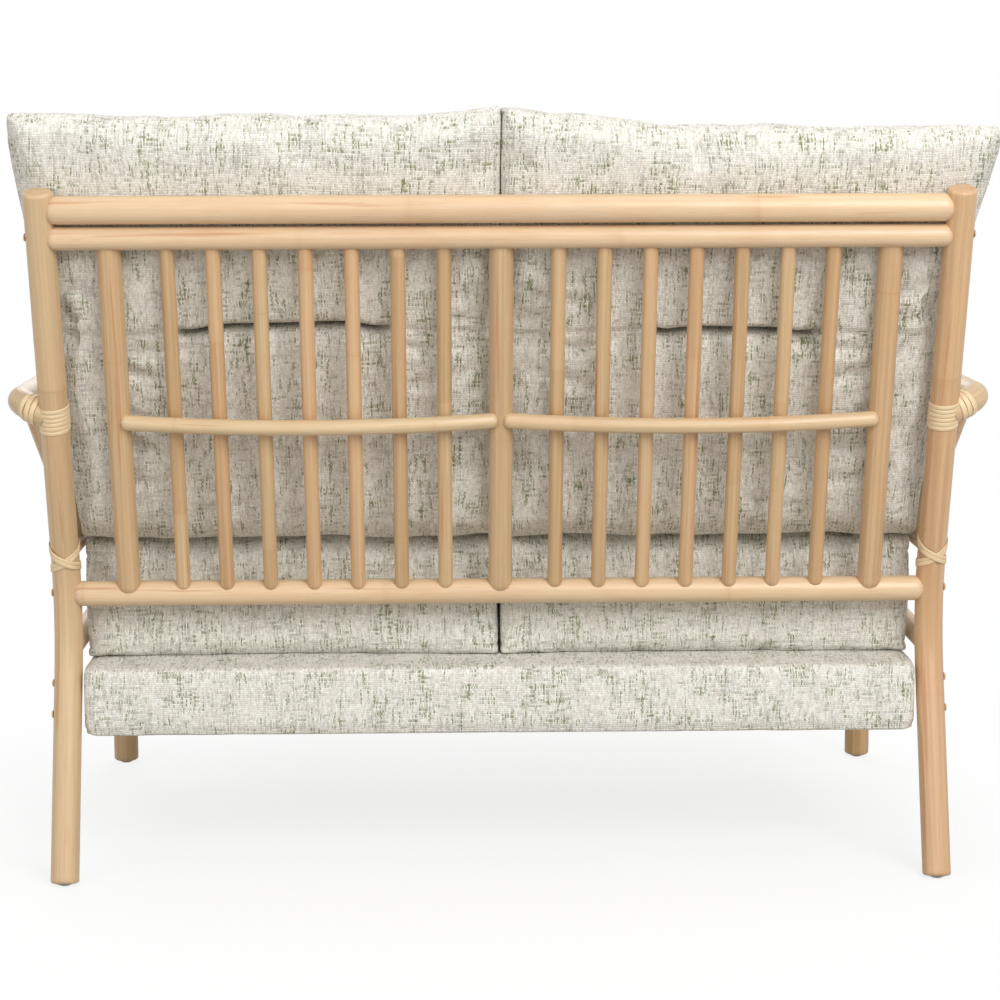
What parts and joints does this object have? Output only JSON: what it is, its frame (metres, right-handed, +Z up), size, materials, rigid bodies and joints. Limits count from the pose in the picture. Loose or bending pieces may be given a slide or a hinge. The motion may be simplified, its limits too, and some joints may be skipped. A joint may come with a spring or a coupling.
{
  "type": "two-seat rattan garden sofa with loose cushions",
  "caption": "Rattan pole sofa with a leaning spindle back, bent arms, cane lashings, an upholstered seat deck, and loose seat and back cushions.",
  "frame": {"origin": "on the floor, under the middle of the sofa's bounding box", "axes": "+Z up, +X to the sitter's left, -Y to the front"},
  "size_m": [1.23, 0.787, 0.9594],
  "materials": {
    "rattan": "satin lacquered rattan pole",
    "cane": "satin cane strip",
    "plug": "satin turned plug",
    "glide": "matt",
    "cloth": "slub weave, cream flecked with green and grey"
  },
  "bodies": {
    "frame": {"rear_post_left": "rattan", "arm_left": "rattan", "front_leg_left": "rattan", "upper_side_rail_left": "rattan", "lower_side_rail_left": "rattan", "arm_brace_left": "rattan", "lumbar_rail_left": "rattan", "spindle_left_1": "rattan", "spindle_left_2": "rattan", "spindle_left_3": "rattan", "spindle_left_4": "rattan", "spindle_left_5": "rattan", "spindle_left_6": "rattan", "spindle_left_7": "rattan", "rear_post_right": "rattan", "arm_right": "rattan", "front_leg_right": "rattan", "upper_side_rail_right": "rattan", "lower_side_rail_right": "rattan", "arm_brace_right": "rattan", "lumbar_rail_right": "rattan", "spindle_right_1": "rattan", "spindle_right_2": "rattan", "spindle_right_3": "rattan", "spindle_right_4": "rattan", "spindle_right_5": "rattan", "spindle_right_6": "rattan", "spindle_right_7": "rattan", "lower_back_rail": "rattan", "second_back_rail": "rattan", "top_back_rail": "rattan", "stile_left": "rattan", "stile_middle": "rattan", "stile_right": "rattan", "post_wrap_left": "cane", "post_wrap_right": "cane", "arm_wrap_left": "cane", "arm_wrap_right": "cane", "leg_wrap_left": "cane", "leg_wrap_right": "cane", "cross_lash_left": "cane", "cross_lash_right": "cane", "screw_plug_left_1": "plug", "screw_plug_left_2": "plug", "screw_plug_left_3": "plug", "screw_plug_left_4": "plug", "screw_plug_right_1": "plug", "screw_plug_right_2": "plug", "screw_plug_right_3": "plug", "screw_plug_right_4": "plug", "rear_glide_left": "glide", "rear_glide_right": "glide", "front_glide_left": "glide", "front_glide_right": "glide", "seat_deck": "cloth"},
    "seat_cushion_left_body": {"seat_cushion_left": "cloth"},
    "seat_cushion_right_body": {"seat_cushion_right": "cloth"},
    "back_cushion_left_body": {"back_cushion_left": "cloth"},
    "back_cushion_right_body": {"back_cushion_right": "cloth"}
  },
  "joints": [
    {"name": "seat_cushion_left_slide", "type": "slide", "parent": "frame", "child": "seat_cushion_left_body", "axis": [0, -1, 0], "range_m": [0, 0.6]},
    {"name": "seat_cushion_right_slide", "type": "slide", "parent": "frame", "child": "seat_cushion_right_body", "axis": [0, -1, 0], "range_m": [0, 0.6]},
    {"name": "back_cushion_left_lift", "type": "slide", "parent": "frame", "child": "back_cushion_left_body", "axis": [0, 0, 1], "range_m": [0, 0.6]},
    {"name": "back_cushion_right_lift", "type": "slide", "parent": "frame", "child": "back_cushion_right_body", "axis": [0, 0, 1], "range_m": [0, 0.6]}
  ]
}
